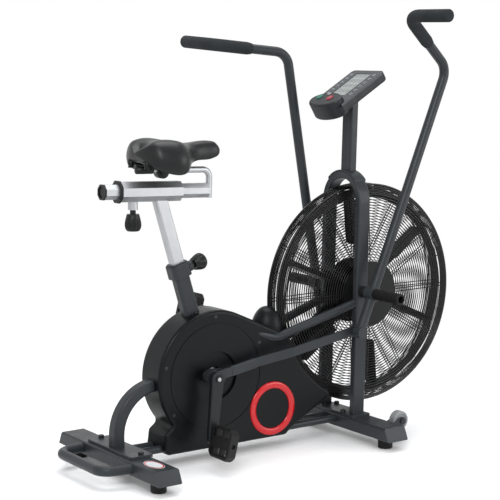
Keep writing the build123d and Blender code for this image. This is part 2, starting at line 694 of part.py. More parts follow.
# Cage: rim hoops with cross bars, two wire guards, hub covers
cage_rim = None
for side in (-1, 1):
    y0 = side * (cage_rim_y - 3) - 3
    hoop = ring(fan_x, fan_z, y0, y0 + 6, cage_r, cage_r - 6)
    cage_rim = hoop if cage_rim is None else cage_rim + hoop
for index in range(24):
    angle = radians(15 * index + 7.5)
    x = fan_x + (cage_r - 3) * cos(angle)
    z = fan_z + (cage_r - 3) * sin(angle)
    cage_rim += rod((x, -cage_rim_y + 3, z), (x, cage_rim_y - 3, z), 2.2)


def guard():
    cage = None
    for radius, y in ((dish_rim_r, dish_rim_y + 2.6), (250, 34), (175, 38), (dish_hub_r - 2, dish_hub_y)):
        hoop = ring(fan_x, fan_z, -y - 1.5, -y + 1.5, radius + 2.5, radius - 2.5)
        cage = hoop if cage is None else cage + hoop
    for index in range(24):
        angle = radians(15 * index)
        inner = (fan_x + (dish_hub_r - 2) * cos(angle), -dish_hub_y, fan_z + (dish_hub_r - 2) * sin(angle))
        outer = (fan_x + dish_rim_r * cos(angle), -dish_rim_y - 2.6, fan_z + dish_rim_r * sin(angle))
        cage += rod(inner, outer, 2.0)
    return cage


right_guard = guard()
left_guard = flip(right_guard)
covers = []
for side in (-1, 1):
    y0 = 44.5 if side > 0 else -48
    hole = 17 if side > 0 else 8.2
    cover = ring(fan_x, fan_z, y0, y0 + 3.5, hub_cover_r, hole)
    covers.append(cover)
belt_cover -= disc(fan_x, fan_z, 40, 50.5, hub_cover_r + 1)


# Handles: lever, hub, bent tube; mirrored and swung for the left
def handle_points():
    low = (pivot_x + lever_dx, -handle_y, pivot_z + lever_dz)
    bend = (pivot_x + 276.5, -handle_y, pivot_z + 653.4)
    corner = (pivot_x + 84.3, -178, pivot_z + 804.7)
    tip = (pivot_x + 101, -333, pivot_z + 803.4)
    return low, bend, corner, tip


low, bend, corner, tip = handle_points()
full = FilletPolyline(low, bend, corner, tip, radius=48)
handle_outer = sweep(Plane(origin=full @ 0, z_dir=full % 0) * Circle(handle_r), path=full)
handle_inner = sweep(Plane(origin=full @ 0, z_dir=full % 0) * Circle(handle_r - 2), path=full)
handle = handle_outer - handle_inner
hub = disc(pivot_x, pivot_z, -150, -116, 21)
hub = fillet(hub.edges().filter_by(lambda e: abs(abs((e @ 0).Y) - 150) < 0.1), 2)
lever_eye = disc(low[0], low[2], -149, -119.5, 17)
lever_boss = disc(low[0], low[2], -119.5, -109, 9)
handle += hub + lever_eye + lever_boss
handle -= disc(pivot_x, pivot_z, -160, -100, shaft_r + running)
grip_from = (Vector(*corner) - Vector(*bend)).normalized()
grip_a = Vector(*corner) - grip_from * 132
grip_line = FilletPolyline(tuple(grip_a), corner, tip, radius=48)
grip = sweep(Plane(origin=grip_line @ 0, z_dir=grip_line % 0) * Circle(grip_r), path=grip_line)
grip += Plane(origin=grip_line @ 1, z_dir=grip_line % 1) * Cylinder(grip_r, 5, align=(
    Align.CENTER, Align.CENTER, Align.MIN))
grip -= handle_outer
handle -= Plane(origin=grip_line @ 1, z_dir=grip_line % 1) * Pos(0, 0, 0) * Cylinder(
    40, 60, align=(Align.CENTER, Align.CENTER, Align.MIN))
left_swing = Location((pivot_x, 0, pivot_z), (0, -handle_phase, 0)) * Pos(-pivot_x, 0, -pivot_z)
left_handle = left_swing * flip(handle)
left_grip = left_swing * flip(grip)


# Handle pivot shafts and foot pegs, fixed to the legs
def peg_solid():
    shaft = disc(pivot_x, pivot_z, -153, -half_out, shaft_r)
    spacer = disc(pivot_x, pivot_z, -115.5, -half_out, 17)
    peg = disc(pivot_x, pivot_z, -262, -152, 16)
    peg = fillet(peg.edges().filter_by(lambda e: abs((e @ 0).Y + 262) < 0.1), 3)
    for index in range(9):
        y = -252 + index * 11
        peg -= ring(pivot_x, pivot_z, y, y + 4, 18, 14.8)
    peg -= disc(pivot_x, pivot_z, -263, -240, 10.5)
    return shaft + spacer + peg


right_peg = peg_solid()
pegs = [right_peg, flip(right_peg)]

# Console mast with the curved saddle plate on top of the arch
plate_blank = Pos(0, leg_bend_z) * (Circle(half_out + 4) - Circle(half_out))
plate_face = plate_blank & (Pos(0, leg_bend_z + 75) * Rectangle(128, 90))
saddle_plate = lean * extrude(Plane.YZ.offset(-20) * plate_face, amount=40)
mast_dx = mast_high_x - mast_low_x
mast_dz = mast_high_z - mast_low_z
mast_dir = Vector(mast_dx, 0, mast_dz)
mast_foot = (mast_low_x - mast_dx * 0.1, 0, mast_low_z - mast_dz * 0.1)
mast_plane = Plane(origin=mast_foot, x_dir=(1, 0, -0.032), z_dir=mast_dir)
mast_solid = extrude(mast_plane * RectangleRounded(27, 45, 6), amount=mast_dir.length * 1.1)
mast_core = extrude(mast_plane * RectangleRounded(22, 40, 4), amount=mast_dir.length * 1.1)
arch_fill = lean * extrude(Plane.YZ.offset(-60) * (Pos(0, leg_bend_z) * Circle(half_out)), amount=120)
mast = (mast_solid - mast_core - arch_fill) + saddle_plate
mast = mast - arch_fill

# Console: housing, top frame, screen and three sprung buttons
console_frame = Location((console_x, 0, console_z), (0, -console_tilt, 0))
body = block(-8, console_length, -console_y, console_y, -30, -6)
body = fillet(body.edges().filter_by(Axis.Z), 14)
body = fillet(body.faces().sort_by(Axis.Z)[0].edges(), 8)
pod = Pos(pod_x, 0, -38) * extrude(Ellipse(pod_half_x, pod_half_y), amount=pod_top + 38)
pod = fillet(pod.faces().sort_by(Axis.Z)[-1].edges(), 7)
pod = fillet(pod.faces().sort_by(Axis.Z)[0].edges(), 7)
housing = body + pod
housing -= block(6, console_length - 14, -console_y + 12, console_y - 12, -22, 0)
button_spots = ((17, 34, 11.5), (33, 6, 6.5), (13, -18, 11.5))
for bx, by, br in button_spots:
    housing -= Pos(bx, by, pod_top) * Cylinder(br + 0.3, 16)
housing = console_frame * housing
housing -= mast_solid
face_top = block(4.2, console_length, -console_y, console_y, -6, 0)
face_top = fillet(face_top.edges().filter_by(Axis.Z).sort_by(Axis.X)[2:], 14)
face_top = fillet(face_top.faces().sort_by(Axis.Z)[-1].edges(), 2.5)
face_top -= Pos(pod_x, 0, -10) * extrude(Ellipse(pod_half_x + 0.3, pod_half_y + 0.3), amount=20)
screen_low, screen_high, screen_y = 54.0, 171.0, 33.0
face_top -= block(screen_low, screen_high, -screen_y, screen_y, -10, 10)
console_face = console_frame * face_top
screen = console_frame * block(screen_low, screen_high, -screen_y, screen_y, -5, -1.2)
mast_cut = console_frame * block(0, console_length, -100, 100, -9, 300)
mast = mast - mast_cut
mast = mast.solids().sort_by(SortBy.VOLUME)[-1]
buttons = []
for bx, by, br in button_spots:
    cap = Pos(bx, by, pod_top - 6.5) * Cylinder(br, 8.5, align=(Align.CENTER, Align.CENTER, Align.MIN))
    cap = fillet(cap.edges().sort_by(Axis.Z)[-1], 1)
    buttons.append(console_frame * cap)

# Seat post and the outer slide tube welded across its top
tube_face = octagon(slide_flats) - octagon(slide_flats - 6)
outer_tube = along_slide(tube_face, -slide_length / 2, slide_length / 2)
outer_fill = along_slide(octagon(slide_flats), -slide_length / 2, slide_length / 2)
post = extrude(RectangleRounded(post_x, post_y, 7), amount=post_high - post_low)
post -= extrude(RectangleRounded(post_x - 5, post_y - 5, 5), amount=post_high - post_low)
post = post_frame(post_low) * post
post -= outer_fill
post = post.solids().sort_by(SortBy.VOLUME)[-1]
slide_boss = Pos(knob_x, 0, slide_z - 36) * Cylinder(13.5, 22)
slide_boss -= along_slide(octagon(slide_flats - 5), -slide_length / 2, slide_length / 2)
outer_tube += slide_boss
outer_tube -= Pos(knob_x, 0, slide_z - 46) * Cylinder(5 + running, 70)
bush = along_slide(octagon(slide_flats + 6) - octagon(carriage_flats + 2 * running),
                   -slide_length / 2 - 5, -slide_length / 2)
bush += along_slide(octagon(slide_flats - 6) - octagon(carriage_flats + 2 * running),
                    -slide_length / 2 - 2, -slide_length / 2 + 12)
front_bush = along_slide(octagon(slide_flats - 6) - octagon(carriage_flats + 2 * running),
                         slide_length / 2 - 40, slide_length / 2)

# Carriage: inner tube, upturned rail and saddle clamp
carriage = along_slide(octagon(carriage_flats) - octagon(carriage_flats - 5), -slide_length / 2 - 46, 188)
rail_path = FilletPolyline((-40, 0, 57.5), (195, 0, 57.5), (195, 0, -21), radius=22)
rail_rod = sweep(Plane(origin=rail_path @ 0, z_dir=rail_path % 0) * Circle(9), path=rail_path)
carriage += slide_frame() * (rail_rod - extrude(Plane.YZ * octagon(carriage_flats), amount=188))
end_cap = along_slide(octagon(carriage_flats + 1.5), -slide_length / 2 - 52, -slide_length / 2 - 46)
end_cap -= along_slide(octagon(carriage_flats - 9), -slide_length / 2 - 53, -slide_length / 2 - 49)
clamp = block(3, 74, -16, 16, 30.5, 64)
clamp = fillet(clamp.edges().filter_by(Axis.X), 6)
clamp -= Pos(0, 0, 57.5) * Rot(0, 90, 0) * Cylinder(9, 500)
clamp += block(10, 66, -25, 25, 66.4, 85)
for side in (-1, 1):
    clamp += block(22, 54, min(side * 6, side * 25), max(side * 6, side * 25), 60, 70)
    clamp -= Pos(40, side * 21, 66) * Rot(0, 90, 0) * Cylinder(3.6, 200)
clamp -= Pos(0, 0, 57.5) * Rot(0, 90, 0) * Cylinder(9, 500)
saddle_clamp = slide_frame() * clamp
saddle_clamp -= block(-500, -300, -60, 60, saddle_seat, 950)
saddle_clamp = saddle_clamp.solids().sort_by(SortBy.VOLUME)[-1]

slider_stem = Pos(knob_x, 0, 0) * (
    Pos(0, 0, 717) * Cylinder(5, 33, align=(Align.CENTER, Align.CENTER, Align.MIN)))
slider_neck = Pos(knob_x, 0, 709) * Cylinder(8, 14, align=(Align.CENTER, Align.CENTER, Align.MIN))
slider_head = Pos(knob_x, 0, 712) * Rot(180, 0, 0) * fluted(23, 46, 12, 3.4)
slider_knob = slider_head + slider_stem + slider_neck

# Saddle: wide rear, slim nose, closed pad with a channel for its clamp
saddle_plan = make_hull([
    *(Pos(-412, 48) * Circle(53)).edges(), *(Pos(-412, -48) * Circle(53)).edges(),
    *(Pos(-330, 0) * Circle(44)).edges()])
saddle_nose = make_hull([
    *(Pos(-340, 0) * Circle(36)).edges(), *(Pos(-209, 0) * Circle(20)).edges()])
saddle = extrude(Plane.XY.offset(saddle_low) * (saddle_plan + saddle_nose), amount=saddle_high - saddle_low)
saddle = fillet(saddle.faces().sort_by(Axis.Z)[-1].edges(), 18)
saddle -= block(-500, -150, -34, 34, saddle_low - 1, saddle_seat)

# Transport wheels
wheels = []
for side in (-1, 1):
    y0 = side * wheel_y - wheel_width / 2
    wheel = disc(wheel_x, wheel_z, y0, y0 + wheel_width, wheel_r)
    wheel = fillet(wheel.edges().filter_by(lambda e: e.length > 100), 4)
    for face_y in (y0 - 1, y0 + wheel_width - 3):
        wheel -= ring(wheel_x, wheel_z, face_y, face_y + 4, 20, 11)
    wheel -= disc(wheel_x, wheel_z, y0 - 1, y0 + wheel_width + 1, 4.8 + running)
    wheels.append(wheel)
    bolt = disc(wheel_x, wheel_z, side * wheel_y - 21, side * wheel_y + 21, 4.8)
    for y_head in (side * wheel_y - 21 - 1, side * wheel_y + 17.5 + 1):
        bolt += slab(Pos(wheel_x, wheel_z) * RegularPolygon(8.5, 6), y_head, y_head + 3.5)
    bolts.append(bolt)

save(rear_bar, "rear_bar")
save(front_bar, "front_bar")
save(rear_plate, "rear_mount_plate")
save(front_mount, "front_mount_bracket")
save(Compound(bolts), "frame_bolts")
save(Compound(feet), "rubber_feet")
save(lift_handle, "lift_handle")
save(lower_rails, "lower_rails")
save(seat_tube, "seat_tube")
save(Compound(bearings), "crank_bearings")
save(seat_collar, "seat_collar")
save(height_knob, "height_knob")
save(rear_arch, "rear_arch_tube")
save(uprights, "upright_arch")
save(Compound(braces), "brace_tubes")
save(right_casing, "right_casing")
save(left_casing, "left_casing")
save(accent, "accent_ring")
save(belt_cover, "belt_cover")
save(crank_axle, "crank_axle")
save(crank_pulley, "crank_pulley")
save(right_web, "right_crank_web")
save(left_web, "left_crank_web")
save(right_arm, "right_pedal_arm")
save(left_arm, "left_pedal_arm")
save(right_pedal, "right_pedal")
save(left_pedal, "left_pedal")
save(right_link, "right_link_rod")
save(left_link, "left_link_rod")
save(jackshaft, "jackshaft")
save(Compound(belts), "drive_belts")
save(fan_axle, "fan_axle")
save(rotor, "fan_rotor")
save(Compound(blades), "fan_blades")
save(cage_rim, "cage_rim")
save(right_guard, "right_cage_guard")
save(left_guard, "left_cage_guard")
save(Compound(covers), "hub_covers")
save(handle, "right_handlebar")
save(grip, "right_grip")
save(left_handle, "left_handlebar")
save(left_grip, "left_grip")
save(Compound(pegs), "foot_pegs")
save(mast, "console_mast")
save(housing, "console_housing")
save(console_face, "console_face")
save(screen, "lcd_screen")
save(buttons[0], "start_button")
save(buttons[1], "select_button")
save(buttons[2], "stop_button")
save(post, "seat_post")
save(outer_tube, "slider_outer_tube")
save(Compound([bush, front_bush]), "slider_bush")
save(carriage, "saddle_carriage")
save(end_cap, "slider_end_cap")
save(saddle_clamp, "saddle_clamp")
save(slider_knob, "slider_knob")
save(saddle, "saddle")
save(wheels[0], "right_transport_wheel")
save(wheels[1], "left_transport_wheel")
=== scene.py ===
"""Air bike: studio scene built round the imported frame. Metres, +X forward, +Y the rider's left, +Z up."""

import json
import math
from math import cos, pi, radians, sin

import bpy
from mathutils import Matrix, Vector


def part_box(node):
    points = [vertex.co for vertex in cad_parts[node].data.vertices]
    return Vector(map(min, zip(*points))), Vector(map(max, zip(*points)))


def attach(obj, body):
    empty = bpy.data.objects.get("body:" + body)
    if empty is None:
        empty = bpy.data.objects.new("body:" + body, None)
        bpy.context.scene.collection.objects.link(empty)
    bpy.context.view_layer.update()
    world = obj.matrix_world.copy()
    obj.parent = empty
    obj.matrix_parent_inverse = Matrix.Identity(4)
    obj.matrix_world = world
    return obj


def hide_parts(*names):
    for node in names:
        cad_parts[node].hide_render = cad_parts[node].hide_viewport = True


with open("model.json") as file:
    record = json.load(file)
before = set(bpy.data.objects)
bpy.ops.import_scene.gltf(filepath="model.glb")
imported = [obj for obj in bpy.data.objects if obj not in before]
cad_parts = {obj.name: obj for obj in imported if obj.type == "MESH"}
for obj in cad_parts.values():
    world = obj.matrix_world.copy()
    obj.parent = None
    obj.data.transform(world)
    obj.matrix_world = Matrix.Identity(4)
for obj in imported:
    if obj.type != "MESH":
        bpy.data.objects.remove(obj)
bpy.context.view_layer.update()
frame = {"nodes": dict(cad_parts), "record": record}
nodes = frame["nodes"]


# ---------------------------------------------------------------- materials

class Nodes:
    """A material's node tree, with short calls for the nodes used here."""

    def __init__(self, name):
        self.material = bpy.data.materials.new(name)
        self.material.use_nodes = True
        self.tree = self.material.node_tree
        self.shader = self.tree.nodes["Principled BSDF"]
        self.coords = self.tree.nodes.new("ShaderNodeTexCoord").outputs["Object"]

    def link(self, source, target):
        self.tree.links.new(source, target)

    def noise(self, scale, detail=4.0, stretch=None):
        node = self.tree.nodes.new("ShaderNodeTexNoise")
        node.inputs["Scale"].default_value = scale
        node.inputs["Detail"].default_value = detail
        coords = self.coords
        if stretch:
            mapping = self.tree.nodes.new("ShaderNodeMapping")
            mapping.inputs["Scale"].default_value = stretch
            self.link(coords, mapping.inputs["Vector"])
            coords = mapping.outputs["Vector"]
        self.link(coords, node.inputs["Vector"])
        return node.outputs["Fac"]

    def cells(self, scale):
        node = self.tree.nodes.new("ShaderNodeTexVoronoi")
        node.inputs["Scale"].default_value = scale
        self.link(self.coords, node.inputs["Vector"])
        return node.outputs["Distance"]

    def ramp(self, source, low, high, start=0.35, end=0.65):
        node = self.tree.nodes.new("ShaderNodeValToRGB")
        node.color_ramp.elements[0].position = start
        node.color_ramp.elements[1].position = end
        node.color_ramp.elements[0].color = (*low, 1)
        node.color_ramp.elements[1].color = (*high, 1)
        self.link(source, node.inputs["Fac"])
        return node.outputs["Color"]

    def spread(self, source, low, high):
        node = self.tree.nodes.new("ShaderNodeMapRange")
        node.inputs["From Min"].default_value = 0.3
        node.inputs["From Max"].default_value = 0.7
        node.inputs["To Min"].default_value = low
        node.inputs["To Max"].default_value = high
        self.link(source, node.inputs["Value"])
        return node.outputs["Result"]

    def bump(self, source, distance, strength=1.0, onto=None):
        node = self.tree.nodes.new("ShaderNodeBump")
        node.inputs["Strength"].default_value = strength
        node.inputs["Distance"].default_value = distance
        self.link(source, node.inputs["Height"])
        if onto:
            self.link(onto, node.inputs["Normal"])
        return node.outputs["Normal"]


def shade(color, amount):
    """A colour made darker or lighter."""
    return tuple(min(1.0, part * amount) for part in color)


def surface(name, color, rough, metal=0.0, coat=0.0, grain=900.0, depth=0.00006, mottle=0.12,
            cells=False, stretch=None, specular=0.5):
    """A procedural finish: slow colour variation, uneven roughness and a fine grain."""
    made = Nodes(name)
    slow = made.noise(9.0, 3.0)
    made.link(made.ramp(slow, shade(color, 1 - mottle), shade(color, 1 + mottle)),
              made.shader.inputs["Base Color"])
    made.link(made.spread(made.noise(35.0, 5.0), rough * 0.88, min(1.0, rough * 1.12)),
              made.shader.inputs["Roughness"])
    made.shader.inputs["Metallic"].default_value = metal
    made.shader.inputs["Coat Weight"].default_value = coat
    made.shader.inputs["Coat Roughness"].default_value = 0.08
    made.shader.inputs["Specular IOR Level"].default_value = specular
    height = made.cells(grain) if cells else made.noise(grain, 2.0, stretch)
    made.link(made.bump(height, depth), made.shader.inputs["Normal"])
    return made.material


CHARCOAL = (0.0215, 0.0250, 0.0285)
BLACK = (0.0055, 0.006, 0.0065)

finishes = {
    "frame_paint": surface("powder_coat", CHARCOAL, 0.40, grain=1400.0, depth=0.00004, coat=0.05,
                           specular=0.24),
    "casing_plastic": surface("casing_moulding", (0.0026, 0.0036, 0.0041), 0.36, grain=1800.0, depth=0.00004,
                              specular=0.17),
    "accent_red": surface("red_gloss", (0.46, 0.004, 0.008), 0.18, coat=0.35, grain=300.0, depth=0.000004,
                          mottle=0.05, specular=0.3),
    "black_plastic": surface("black_plastic", BLACK, 0.38, grain=1600.0, depth=0.00005, specular=0.26),
    "chrome_tube": surface("satin_chrome", (0.44, 0.45, 0.465), 0.42, metal=1.0, grain=500.0, depth=0.000012,
                           mottle=0.04, stretch=(0.3, 6.0, 6.0)),
    "saddle_vinyl": surface("saddle_vinyl", (0.0035, 0.0042, 0.0047), 0.38, cells=True, grain=700.0,
                            depth=0.00009, specular=0.34),
    "grip_foam": surface("grip_foam", (0.0215, 0.0245, 0.0265), 0.85, grain=1100.0, depth=0.0003,
                         specular=0.15),
    "foot_rubber": surface("foot_rubber", (0.0075, 0.0075, 0.008), 0.6, grain=900.0, depth=0.0001,
                           specular=0.2),
    "cage_wire": surface("cage_wire", (0.0035, 0.0035, 0.004), 0.24, coat=0.15, grain=600.0, depth=0.00001,
                         specular=0.3),
    "fan_plastic": surface("fan_blades", (0.0065, 0.007, 0.0075), 0.40, grain=1200.0, depth=0.00004,
                           specular=0.2),
    "steel": surface("zinc_plate", (0.42, 0.43, 0.44), 0.34, metal=1.0, grain=800.0, depth=0.00002),
    "dark_bolt": surface("black_oxide", (0.035, 0.035, 0.038), 0.36, metal=0.8, grain=900.0, depth=0.00003),
    "belt_rubber": surface("belt_rubber", (0.009, 0.009, 0.009), 0.7, grain=900.0, depth=0.0001,
                           specular=0.2),
    "wheel_grey": surface("wheel_grey", (0.19, 0.195, 0.20), 0.5, grain=420.0, depth=0.0002, mottle=0.3,
                          specular=0.3),
    "console_grey": surface("console_moulding", (0.0115, 0.0130, 0.0155), 0.40, grain=1700.0, depth=0.00005,
                            specular=0.25),
    "console_panel": surface("console_panel", (0.016, 0.019, 0.024), 0.3, coat=0.2, grain=900.0,
                             depth=0.00001, specular=0.3),
    "lcd": surface("lcd_glass", (0.22, 0.24, 0.235), 0.18, coat=0.4, grain=300.0, depth=0.000004, mottle=0.06,
                   specular=0.4),
    "button_green": surface("button_green", (0.008, 0.13, 0.085), 0.4, grain=900.0, depth=0.00003,
                            specular=0.3),
    "button_red": surface("button_red", (0.27, 0.012, 0.032), 0.4, grain=900.0, depth=0.00003, specular=0.3),
    "button_grey": surface("button_grey", (0.2, 0.205, 0.21), 0.4, grain=900.0, depth=0.00003, specular=0.3),
    "pedal_plastic": surface("pedal_plastic", (0.007, 0.007, 0.0075), 0.45, grain=1400.0, depth=0.00006,
                             specular=0.25),
}
icon_white = surface("printed_white", (0.52, 0.54, 0.56), 0.5, grain=600.0, depth=0.000004)
digit_dark = surface("lcd_segments", (0.115, 0.125, 0.122), 0.35, grain=600.0, depth=0.000004)

crank_paint = surface("crank_paint", (0.0075, 0.0088, 0.0100), 0.36, grain=1400.0, depth=0.00004,
                      specular=0.3)
mark_grey = surface("printed_grey", (0.27, 0.295, 0.32), 0.5, grain=600.0, depth=0.000004)

dressed = {
    "seat_collar": finishes["frame_paint"], "right_pedal_arm": crank_paint, "left_pedal_arm": crank_paint,
    "right_crank_web": crank_paint, "left_crank_web": crank_paint}
slots = {part["node"]: part["material_slot"] for part in frame["record"]["subparts"]}
for name, node in nodes.items():
    node.data.materials.clear()
    node.data.materials.append(dressed.get(name, finishes[slots[name]]))


# ------------------------------------------------------------ shape helpers

def mesh_piece(name, points, faces, finish, body, slot=None, smooth=True):
    """A new mesh piece, riding on a body."""
    mesh = bpy.data.meshes.new(name)
    mesh.from_pydata([tuple(point) for point in points], [], faces)
    mesh.update()
    piece = bpy.data.objects.new(name, mesh)
    bpy.context.scene.collection.objects.link(piece)
    if smooth:
        mesh.shade_smooth()
    mesh.materials.append(finishes[finish] if isinstance(finish, str) else finish)
    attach(piece, body)
    return piece


def section_ring(centre, across, up, radius_a, radius_b, count):
    """Points of an ellipse in the plane of two directions."""
    return [centre + across * (radius_a * cos(2 * pi * k / count)) + up * (radius_b * sin(2 * pi * k / count))
            for k in range(count)]


def tube_mesh(path, radius, sides=8, closed=False):
    """Points and faces of a round tube along a path of points."""
    points, faces = [], []
    count = len(path)
    normal = None
    for index, here in enumerate(path):
        if closed:
            ahead = path[(index + 1) % count] - path[index - 1]
        else:
            ahead = path[min(index + 1, count - 1)] - path[max(index - 1, 0)]
        ahead.normalize()
        if normal is None:
            normal = ahead.orthogonal().normalized()
        normal = (normal - ahead * normal.dot(ahead)).normalized()
        points += section_ring(here, normal, ahead.cross(normal), radius, radius, sides)
    loops = count if closed else count - 1
    for index in range(loops):
        low, high = index * sides, (index + 1) % count * sides
        for k in range(sides):
            step = (k + 1) % sides
            faces.append((low + k, low + step, high + step, high + k))
    if not closed:
        faces.append(tuple(range(sides))[::-1])
        faces.append(tuple(range((count - 1) * sides, count * sides)))
    return points, faces


def merge(parts):
    """Several point and face lists as one."""
    points, faces = [], []
    for some_points, some_faces in parts:
        base = len(points)
        points += some_points
        faces += [tuple(base + k for k in face) for face in some_faces]
    return points, faces


def hoop_mesh(centre, radius, wire, y, segments=160, sides=6):
    """A wire hoop about the Y axis."""
    points, faces = [], []
    for index in range(segments):
        turn = 2 * pi * index / segments
        out = Vector((cos(turn), 0, sin(turn)))
        here = Vector((centre.x, y, centre.z)) + out * radius
        points += section_ring(here, out, Vector((0, 1, 0)), wire, wire, sides)
    for index in range(segments):
        low, high = index * sides, (index + 1) % segments * sides
        for k in range(sides):
            step = (k + 1) % sides
            faces.append((low + k, high + k, high + step, low + step))
    return points, faces


def lathe_mesh(origin, axis, profile, segments=48):
    """Points and faces of a turned shape. The profile is (distance along the axis, radius)."""
    axis = axis.normalized()
    side = axis.orthogonal().normalized()
    other = axis.cross(side)
    points, faces = [], []
    for along, radius in profile:
        points += section_ring(origin + axis * along, side, other, radius, radius, segments)
    for index in range(len(profile) - 1):
        low, high = index * segments, (index + 1) * segments
        for k in range(segments):
            step = (k + 1) % segments
            faces.append((low + k, low + step, high + step, high + k))
    faces.append(tuple(range(segments))[::-1])
    faces.append(tuple(range((len(profile) - 1) * segments, len(profile) * segments)))
    return points, faces


def box_mesh(centre, size, turn=None):
    """Points and faces of a box, turned about its centre."""
    turn = turn or Matrix.Identity(3)
    points = []
    for i in (-1, 1):
        for j in (-1, 1):
            for k in (-1, 1):
                points.append(centre + turn @ Vector((i * size[0] / 2, j * size[1] / 2, k * size[2] / 2)))
    faces = [(0, 1, 3, 2), (4, 6, 7, 5), (0, 4, 5, 1), (2, 3, 7, 6), (0, 2, 6, 4), (1, 5, 7, 3)]
    return points, faces


def soften(piece, width, segments=2):
    """Rounded edges on a hard piece."""
    bevel = piece.modifiers.new("rounding", "BEVEL")
    bevel.width = width
    bevel.segments = segments
    bevel.limit_method = "ANGLE"
    return piece


# -------------------------------------------------------------------- cage

def centre_of(node):
    low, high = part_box(node)
    return (low + high) / 2


fan_centre = centre_of("cage_rim")
rim_low, rim_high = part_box("cage_rim")
rim_radius = (rim_high.x - rim_low.x) / 2
rim_y = (rim_high.y - rim_low.y) / 2
hub_radius = (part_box("hub_covers")[1].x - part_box("hub_covers")[0].x) / 2
dish_radius = rim_radius - 0.006
dish_depth = 0.043
wire = 0.0014
edge_wire = 0.0018
radial_pairs = 12
pair_gap = 0.009


def dish_y(radius):
    """Distance of the guard from the centre plane at a radius."""
    share = (dish_radius - radius) / (dish_radius - hub_radius)
    return rim_y + (dish_depth - rim_y) * math.sqrt(max(0.0, share))


ring_pitch = 0.0082
edge_pitch = 0.0047
edge_radius = dish_radius - 0.026
fine_count = int((edge_radius - hub_radius) / ring_pitch)
fine = [hub_radius + 0.003 + index * ring_pitch for index in range(fine_count)]
dense = [edge_radius + index * edge_pitch for index in range(6)]
for side, node in ((-1, "right_cage_guard"), (1, "left_cage_guard")):
    parts = []
    for radius in fine + dense:
        thick = wire if radius < edge_radius - 0.001 else edge_wire
        parts.append(hoop_mesh(fan_centre, radius, thick, side * dish_y(radius), segments=144, sides=5))
    for index in range(radial_pairs):
        turn = 2 * pi * index / radial_pairs
        for shift in (-pair_gap / 2, pair_gap / 2):
            out = Vector((cos(turn), 0, sin(turn)))
            along = Vector((-sin(turn), 0, cos(turn)))
            path = []
            for step in range(15):
                radius = hub_radius - 0.008 + (dish_radius - hub_radius + 0.008) * step / 14
                here = Vector((fan_centre.x, 0, fan_centre.z)) + out * radius + along * shift
                here.y = side * (dish_y(max(radius, hub_radius)) - 2 * wire)
                path.append(here)
            parts.append(tube_mesh(path, wire * 1.15, sides=5))
    guard = mesh_piece(f"{node}_wires", *merge(parts), "cage_wire", "frame")
    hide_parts(node)

# Rim: two thick hoops and two lighter ones, four thin hoops between them, and short cross bars
band_hoops = 4
band_pitch = 0.0086
cross_bars = 12
parts = []
for side in (-1, 1):
    outer_y = side * (rim_y - 0.0032)
    inner_y = side * (rim_y + 0.0004)
    parts.append(hoop_mesh(fan_centre, rim_radius - 0.0032, 0.0031, outer_y, segments=200, sides=8))
    parts.append(hoop_mesh(fan_centre, rim_radius - 0.010, 0.0024, inner_y, segments=200, sides=6))
for index in range(band_hoops):
    across = (index - (band_hoops - 1) / 2) * band_pitch
    parts.append(hoop_mesh(fan_centre, rim_radius - 0.0022, 0.0010, across, segments=200, sides=5))
for index in range(cross_bars):
    turn = 2 * pi * (index + 0.5) / cross_bars
    spot = Vector((fan_centre.x, 0, fan_centre.z)) + Vector((cos(turn), 0, sin(turn))) * (rim_radius - 0.0045)
    reach = Vector((0, rim_y - 0.003, 0))
    parts.append(tube_mesh([spot - reach, spot + reach], 0.0014, sides=6))
rim = mesh_piece("cage_rim_wires", *merge(parts), "cage_wire", "frame")
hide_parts("cage_rim")


# ------------------------------------------------------------------ saddle

saddle_low, saddle_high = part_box("saddle")
saddle_length = saddle_high.x - saddle_low.x


def smooth_step(low, high, value):
    share = min(1.0, max(0.0, (value - low) / (high - low)))
    return share * share * (3 - 2 * share)


def mix(a, b, share):
    return a + (b - a) * share


def through(knots, at):
    """Smooth curve through (place, value) knots."""
    for index in range(len(knots) - 1):
        if at <= knots[index + 1][0]:
            break
    before = knots[max(index - 1, 0)]
    low, high = knots[index], knots[index + 1]
    after = knots[min(index + 2, len(knots) - 1)]
    span = high[0] - low[0]
    share = min(1.0, max(0.0, (at - low[0]) / span))
    slope_low = (high[1] - before[1]) / max(1e-6, high[0] - before[0]) * span
    slope_high = (after[1] - low[1]) / max(1e-6, after[0] - low[0]) * span
    square, cube = share * share, share ** 3
    return (low[1] * (2 * cube - 3 * square + 1) + slope_low * (cube - 2 * square + share)
            + high[1] * (3 * square - 2 * cube) + slope_high * (cube - square))


# Half width, crown height and hem height along the saddle, rear to nose
WIDTHS = ((0.0, 0.074), (0.10, 0.088), (0.22, 0.101), (0.33, 0.107), (0.42, 0.099), (0.50, 0.075),
          (0.58, 0.048), (0.67, 0.033), (0.78, 0.029), (0.90, 0.029), (1.0, 0.026))
CROWNS = ((0.0, 0.900), (0.10, 0.910), (0.22, 0.917), (0.36, 0.914), (0.50, 0.904), (0.62, 0.900),
          (0.78, 0.904), (0.91, 0.902), (1.0, 0.887))
HEMS = ((0.0, 0.856), (0.08, 0.838), (0.18, 0.824), (0.32, 0.817), (0.44, 0.825), (0.54, 0.841),
        (0.68, 0.850), (0.84, 0.852), (1.0, 0.866))
FULL_TURN = radians(122)
PAN_HEIGHT = 0.852


